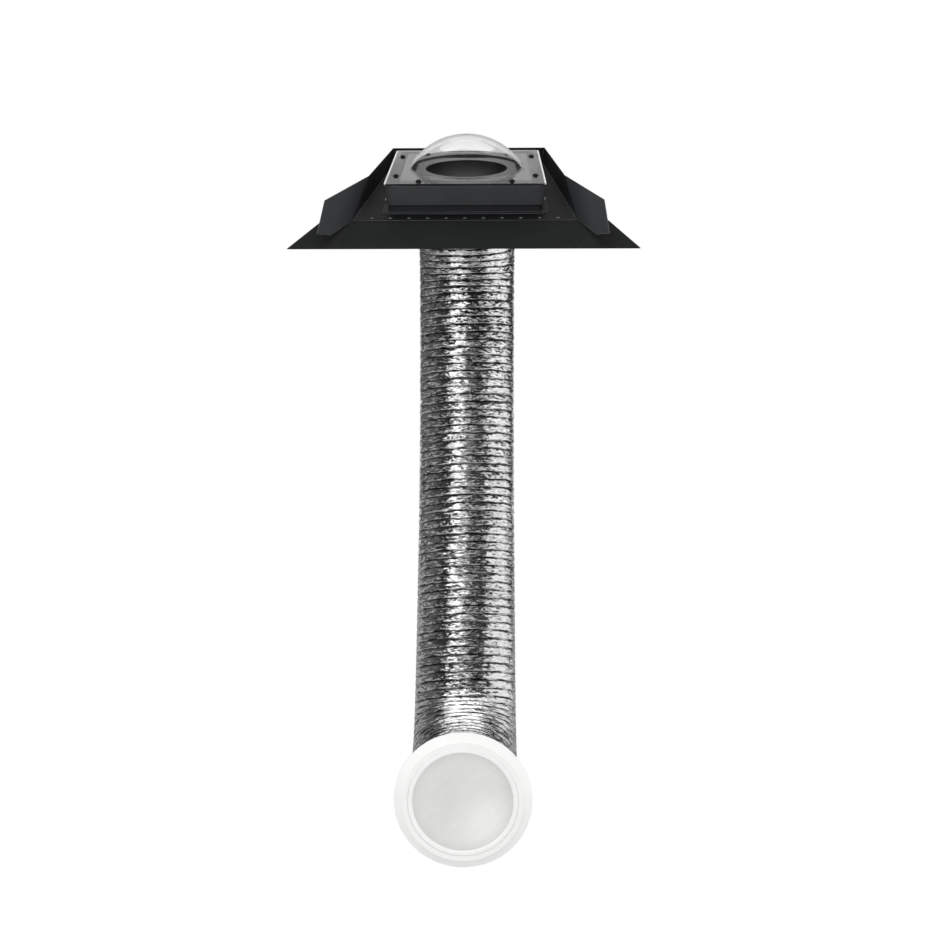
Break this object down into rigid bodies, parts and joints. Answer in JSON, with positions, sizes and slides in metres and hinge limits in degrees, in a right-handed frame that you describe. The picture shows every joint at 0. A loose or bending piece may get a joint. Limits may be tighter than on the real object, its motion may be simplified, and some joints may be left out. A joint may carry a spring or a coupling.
{
  "type": "tubular skylight",
  "caption": "Tubular skylight for a tiled roof: clear dome on a black curb and flashing pan, ribbed foil duct and a round white ceiling ring with a frosted diffuser.",
  "frame": {"origin": "middle of the roof opening, on the plane of the pan's underside", "axes": "+Z plumb up, -Y down the roof slope towards the room side of the picture, +X to the viewer's right; the roof plane is pitched 25 degrees about X"},
  "size_m": [0.758, 0.8025, 1.7513],
  "materials": {
    "clear_acrylic": "clear gloss",
    "black_steel": "satin powder coat",
    "apron_sheet": "matte",
    "foil": "crinkled bright",
    "collar_metal": "bright rolled",
    "clamp_steel": "satin",
    "black_fastener": "black oxide",
    "gasket_rubber": "matte",
    "white_plastic": "satin",
    "frosted_acrylic": "frosted"
  },
  "bodies": {
    "root": {"dome": "clear_acrylic", "dome_gasket": "gasket_rubber", "dome_washers": "gasket_rubber", "dome_screws": "black_fastener", "curb_cap": "black_steel", "cap_screws": "clamp_steel", "curb_upstand": "black_steel", "pan": "black_steel", "apron": "apron_sheet", "apron_rivets": "black_fastener", "tube_collar": "collar_metal", "duct": "foil", "upper_clamp_band": "clamp_steel", "upper_clamp_screw": "clamp_steel", "lower_clamp_band": "clamp_steel", "lower_clamp_screw": "clamp_steel", "ceiling_frame": "white_plastic", "trim_ring": "white_plastic", "diffuser_seal": "gasket_rubber", "diffuser": "frosted_acrylic", "diffuser_bezel": "white_plastic"}
  },
  "joints": []
}
